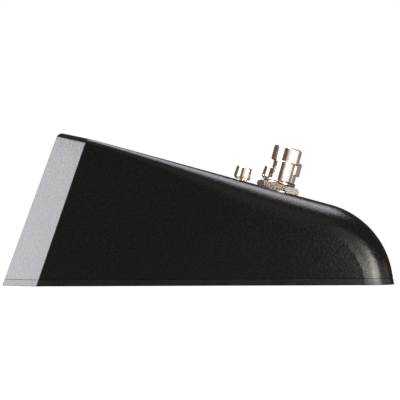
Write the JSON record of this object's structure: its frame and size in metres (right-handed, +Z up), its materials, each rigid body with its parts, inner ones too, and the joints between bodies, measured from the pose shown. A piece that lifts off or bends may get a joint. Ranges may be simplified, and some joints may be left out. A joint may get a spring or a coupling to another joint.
{
  "type": "foot switch pedal",
  "caption": "Wedge-shaped floor pedal with two sprung nickel foot switches, two mini mode buttons and a rear plug socket for a keyboard or amplifier.",
  "frame": {"origin": "on the floor under the middle of the box", "axes": "+X towards the low rounded nose, -X the tall rear face with the plug socket, +Y towards the far foot switch, +Z up"},
  "size_m": [0.1407, 0.125, 0.0554],
  "materials": {
    "shell_coat": "fine-grained black powder coat",
    "base_plastic": "smooth satin black moulding",
    "foot_rubber": "matte",
    "black_steel": "black oxide",
    "nickel": "bright nickel plate",
    "zinc_steel": "zinc plated",
    "spring_steel": "drawn spring wire",
    "contact_brass": "tinned brass",
    "phenolic": "moulded phenolic",
    "nylon": "moulded nylon",
    "black_plastic": "moulded",
    "wire_white": "wire insulation",
    "wire_red": "wire insulation",
    "wire_black": "wire insulation"
  },
  "bodies": {
    "box": {"base_plate": "base_plastic", "base_screws": "black_steel", "enclosure_shell": "shell_coat", "far_switch_back_nut": "nickel", "far_switch_bushing": "nickel", "far_switch_can": "zinc_steel", "far_switch_hex_nut": "nickel", "far_switch_lock_washer": "zinc_steel", "far_switch_lugs": "contact_brass", "far_switch_spring": "spring_steel", "far_switch_terminal_base": "phenolic", "front_button_body": "black_plastic", "front_button_bushing": "nickel", "front_button_hex_nut": "nickel", "front_button_lock_washer": "zinc_steel", "front_button_lugs": "contact_brass", "front_button_spring": "spring_steel", "jack_body": "black_plastic", "jack_bushing": "nickel", "jack_nut": "nickel", "jack_ring_contact": "contact_brass", "jack_sleeve_contact": "contact_brass", "jack_tip_contact": "contact_brass", "jack_washer": "nickel", "link_wire": "wire_black", "near_switch_back_nut": "nickel", "near_switch_bushing": "nickel", "near_switch_can": "zinc_steel", "near_switch_hex_nut": "nickel", "near_switch_lock_washer": "zinc_steel", "near_switch_lugs": "contact_brass", "near_switch_spring": "spring_steel", "near_switch_terminal_base": "phenolic", "rear_button_body": "black_plastic", "rear_button_bushing": "nickel", "rear_button_hex_nut": "nickel", "rear_button_lock_washer": "zinc_steel", "rear_button_lugs": "contact_brass", "rear_button_spring": "spring_steel", "ring_wire": "wire_red", "rubber_feet": "foot_rubber", "sleeve_wire": "wire_black", "tip_wire": "wire_white"},
    "near_plunger": {"near_switch_plunger": "nickel", "near_switch_contact_slider": "nylon"},
    "far_plunger": {"far_switch_plunger": "nickel", "far_switch_contact_slider": "nylon"},
    "rear_button": {"rear_button_cap": "nickel", "rear_button_stem": "zinc_steel"},
    "front_button": {"front_button_cap": "nickel", "front_button_stem": "zinc_steel"}
  },
  "joints": [
    {"name": "near_switch_press", "type": "slide", "parent": "box", "child": "near_plunger", "axis": [-0.2689, 0, -0.9632], "range_m": [0, 0.0045], "stiffness_N_per_m": 2500, "springref_m": -0.002, "deforming": ["near_switch_spring"]},
    {"name": "far_switch_press", "type": "slide", "parent": "box", "child": "far_plunger", "axis": [-0.2689, 0, -0.9632], "range_m": [0, 0.0045], "stiffness_N_per_m": 2500, "springref_m": -0.002, "deforming": ["far_switch_spring"]},
    {"name": "rear_button_release", "type": "slide", "parent": "box", "child": "rear_button", "axis": [0.2689, 0, 0.9632], "range_m": [0, 0.0027], "deforming": ["rear_button_spring"]},
    {"name": "front_button_press", "type": "slide", "parent": "box", "child": "front_button", "axis": [-0.2689, 0, -0.9632], "range_m": [0, 0.0027], "stiffness_N_per_m": 400, "springref_m": -0.001, "deforming": ["front_button_spring"]}
  ]
}
